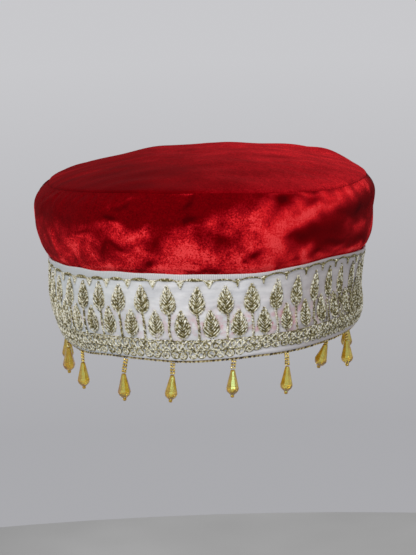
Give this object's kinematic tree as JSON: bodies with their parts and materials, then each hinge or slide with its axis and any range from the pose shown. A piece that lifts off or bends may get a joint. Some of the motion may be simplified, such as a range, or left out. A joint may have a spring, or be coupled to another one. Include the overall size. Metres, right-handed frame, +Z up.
{
  "type": "embroidered velvet cap",
  "caption": "Soft oval cap of red velvet with a flared crown and domed top, a white band embroidered in gold, a gold rim cord and faceted amber drops on short bead strings.",
  "frame": {"origin": "centre of the head opening, level with the rim", "axes": "+Z up through the crown, the front of the cap towards -Y, +X to the right as seen from the front"},
  "size_m": [0.2028, 0.2241, 0.1327],
  "materials": {
    "crown_velvet": "crushed velvet pile",
    "band_cloth": "matte woven cloth",
    "gold_thread": "metallic gold thread",
    "gold_bead": "bright gold seed beads",
    "amber_glass": "faceted amber glass with a faint lustre"
  },
  "bodies": {
    "root": {"crown_top": "crown_velvet", "crown_side": "crown_velvet", "band": "band_cloth", "rim_cord": "gold_thread", "bead_string_01": "gold_bead", "bead_string_02": "gold_bead", "bead_string_03": "gold_bead", "bead_string_04": "gold_bead", "bead_string_05": "gold_bead", "bead_string_06": "gold_bead", "bead_string_07": "gold_bead", "bead_string_08": "gold_bead", "bead_string_09": "gold_bead", "bead_string_10": "gold_bead", "bead_string_11": "gold_bead", "bead_string_12": "gold_bead", "bead_string_13": "gold_bead", "bead_string_14": "gold_bead", "bead_string_15": "gold_bead", "bead_string_16": "gold_bead", "bead_string_17": "gold_bead", "drop_01": "amber_glass", "drop_02": "amber_glass", "drop_03": "amber_glass", "drop_04": "amber_glass", "drop_05": "amber_glass", "drop_06": "amber_glass", "drop_07": "amber_glass", "drop_08": "amber_glass", "drop_09": "amber_glass", "drop_10": "amber_glass", "drop_11": "amber_glass", "drop_12": "amber_glass", "drop_13": "amber_glass", "drop_14": "amber_glass", "drop_15": "amber_glass", "drop_16": "amber_glass", "drop_17": "amber_glass"}
  },
  "joints": []
}
